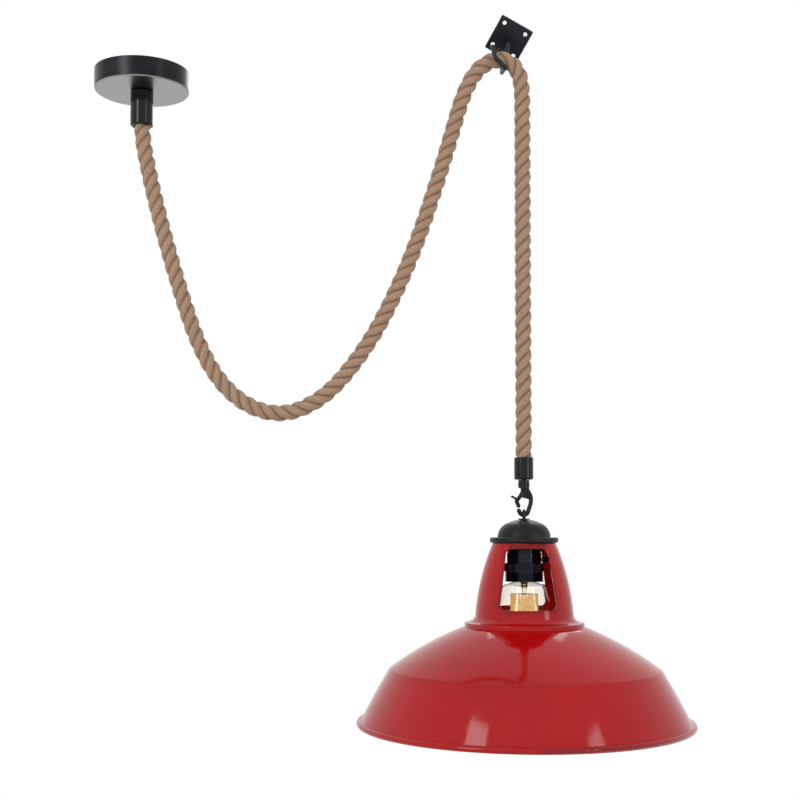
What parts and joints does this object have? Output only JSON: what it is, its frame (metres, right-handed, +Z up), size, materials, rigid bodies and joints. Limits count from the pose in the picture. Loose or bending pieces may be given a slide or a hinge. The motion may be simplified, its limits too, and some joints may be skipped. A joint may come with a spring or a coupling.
{
  "type": "rise and fall pendant light",
  "caption": "Enamelled shade hung by a snap hook on a thick rope that runs over a ceiling hook to a ceiling rose, so that its height can be set.",
  "frame": {"origin": "centre of the ceiling rose on the ceiling, midway between its two screw slots", "axes": "+Z up into the ceiling; +X from the rose towards the hanging shade; -Y towards the viewer"},
  "size_m": [0.6345, 0.354, 0.765],
  "materials": {
    "bracket_zinc": "zinc plated steel",
    "rose_black": "satin black nickel",
    "sleeve_black": "gloss black",
    "terminal_white": "moulded nylon",
    "plate_black": "satin black powder coat",
    "jute": "three-strand natural fibre rope",
    "gloss_black": "gloss black",
    "matt_black": "matt black",
    "red_enamel": "gloss vitreous enamel",
    "holder_black": "gloss black",
    "ceramic": "glazed ceramic",
    "brass": "brass",
    "bulb_metal": "nickel plated",
    "black_glass": "black glass insulator",
    "bulb_glass": "clear, faintly amber",
    "filament": "carbon filament, amber",
    "support_steel": "nickel wire"
  },
  "bodies": {
    "ceiling_fitting": {"rose_bracket": "bracket_zinc", "rose_cup": "rose_black", "rose_nipple": "bracket_zinc", "nipple_nut": "bracket_zinc", "nipple_locknut": "bracket_zinc", "stem": "sleeve_black", "stem_screw": "bracket_zinc", "terminal_block": "terminal_white", "terminal_screw_1": "bracket_zinc", "terminal_screw_2": "bracket_zinc", "terminal_screw_3": "bracket_zinc", "earth_screw": "bracket_zinc", "hook_plate": "plate_black", "plate_hook": "plate_black"},
    "swag": {"rope_swag": "jute"},
    "rope_end": {"rope_drop": "jute", "ferrule": "gloss_black", "ferrule_screw": "bracket_zinc", "swivel_stud": "gloss_black"},
    "snap_hook": {"snap_body": "gloss_black", "gate_pin": "bracket_zinc"},
    "gate": {"snap_gate": "gloss_black"},
    "shade": {"cap_eye": "matt_black", "cap_dome": "matt_black", "cap_coupler": "bracket_zinc", "cap_nipple": "bracket_zinc", "shade_nut": "bracket_zinc", "shade_shell": "red_enamel", "holder_cap": "holder_black", "holder_ring": "holder_black", "holder_skirt": "holder_black", "holder_insert": "ceramic", "holder_sleeve": "brass", "holder_contact": "brass"},
    "key": {"key_shaft": "holder_black", "key_knob": "holder_black"},
    "bulb": {"bulb_cap": "bulb_metal", "bulb_insulator": "black_glass", "bulb_contact": "bulb_metal", "bulb_glass": "bulb_glass", "bulb_stem": "bulb_glass", "bulb_support_top": "support_steel", "bulb_support_foot": "support_steel", "bulb_filament": "filament"}
  },
  "joints": [
    {"name": "rise_fall", "type": "slide", "parent": "ceiling_fitting", "child": "rope_end", "axis": [0, 0, 1], "range_m": [-0.12, 0.12], "deforming": ["rope_drop"]},
    {"name": "swag_sag", "type": "slide", "parent": "ceiling_fitting", "child": "swag", "axis": [0, 0, 1], "range_m": [-0.062, 0.062], "deforming": ["rope_swag"]},
    {"name": "hook_swivel", "type": "hinge", "parent": "rope_end", "child": "snap_hook", "pos_m": [0.4075, 0, -0.4415], "axis": [0, 0, 1], "continuous": true},
    {"name": "gate_open", "type": "hinge", "parent": "snap_hook", "child": "gate", "pos_m": [0.40499, 0, -0.45251], "axis": [0, -1, 0], "range_deg": [0, 30], "stiffness_Nm_per_rad": 0.02, "springref_deg": -20.05},
    {"name": "shade_swing", "type": "hinge", "parent": "snap_hook", "child": "shade", "pos_m": [0.4075, 0, -0.4739], "axis": [1, 0, 0], "range_deg": [-25, 25]},
    {"name": "key_turn", "type": "hinge", "parent": "shade", "child": "key", "pos_m": [0.4075, 0, -0.5213], "axis": [1, 0, 0], "continuous": true},
    {"name": "bulb_turn", "type": "hinge", "parent": "shade", "child": "bulb", "pos_m": [0.4075, 0, -0.56], "axis": [0, 0, 1], "continuous": true}
  ],
  "couplings": [
    {"joint": "swag_sag", "follows": "rise_fall", "ratio": -0.5}
  ]
}
